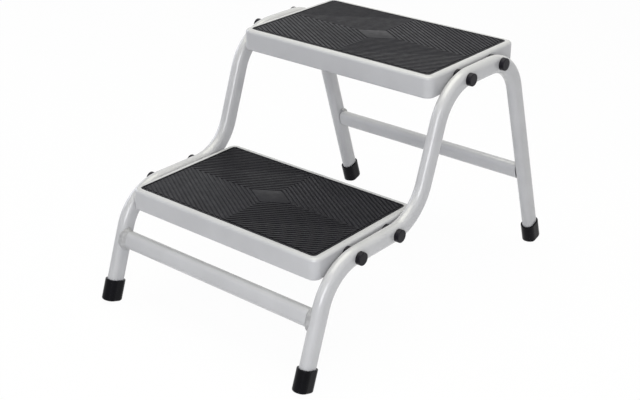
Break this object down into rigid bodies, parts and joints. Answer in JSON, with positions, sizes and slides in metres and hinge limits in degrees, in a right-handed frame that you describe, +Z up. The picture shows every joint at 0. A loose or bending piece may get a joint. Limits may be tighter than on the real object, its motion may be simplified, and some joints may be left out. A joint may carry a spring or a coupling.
{
  "type": "caravan entry step",
  "caption": "Free-standing caravan entry step: treads with ribbed rubber mats, bolted between bent flat-oval tube side frames with crossbars and rubber feet.",
  "frame": {"origin": "on the floor, half way between the left and right sides and between the front and rear feet's ends", "axes": "+X to the right of a person facing the step, +Y from the front to the rear, +Z up"},
  "size_m": [0.4594, 0.6858, 0.401],
  "materials": {
    "frame_paint": "satin silver-grey",
    "tread_paint": "satin silver-grey",
    "weld_paint": "painted over, uneven",
    "mat_rubber": "moulded, matte",
    "foot_rubber": "moulded, satin",
    "black_plastic": "moulded",
    "zinc_steel": "zinc plated"
  },
  "bodies": {
    "root": {"left_side_frame": "frame_paint", "right_side_frame": "frame_paint", "front_crossbar": "frame_paint", "front_left_weld": "weld_paint", "front_left_foot": "foot_rubber", "front_right_weld": "weld_paint", "front_right_foot": "foot_rubber", "rear_crossbar": "frame_paint", "rear_left_weld": "weld_paint", "rear_left_foot": "foot_rubber", "rear_right_weld": "weld_paint", "rear_right_foot": "foot_rubber", "lower_tread": "tread_paint", "lower_mat": "mat_rubber", "lower_left_bolts": "zinc_steel", "lower_left_bolt_caps": "black_plastic", "lower_left_spacers": "black_plastic", "lower_left_washers": "zinc_steel", "lower_left_lock_nuts": "zinc_steel", "lower_right_bolts": "zinc_steel", "lower_right_bolt_caps": "black_plastic", "lower_right_spacers": "black_plastic", "lower_right_washers": "zinc_steel", "lower_right_lock_nuts": "zinc_steel", "upper_tread": "tread_paint", "upper_mat": "mat_rubber", "upper_left_bolts": "zinc_steel", "upper_left_bolt_caps": "black_plastic", "upper_left_spacers": "black_plastic", "upper_left_washers": "zinc_steel", "upper_left_lock_nuts": "zinc_steel", "upper_right_bolts": "zinc_steel", "upper_right_bolt_caps": "black_plastic", "upper_right_spacers": "black_plastic", "upper_right_washers": "zinc_steel", "upper_right_lock_nuts": "zinc_steel"}
  },
  "joints": []
}
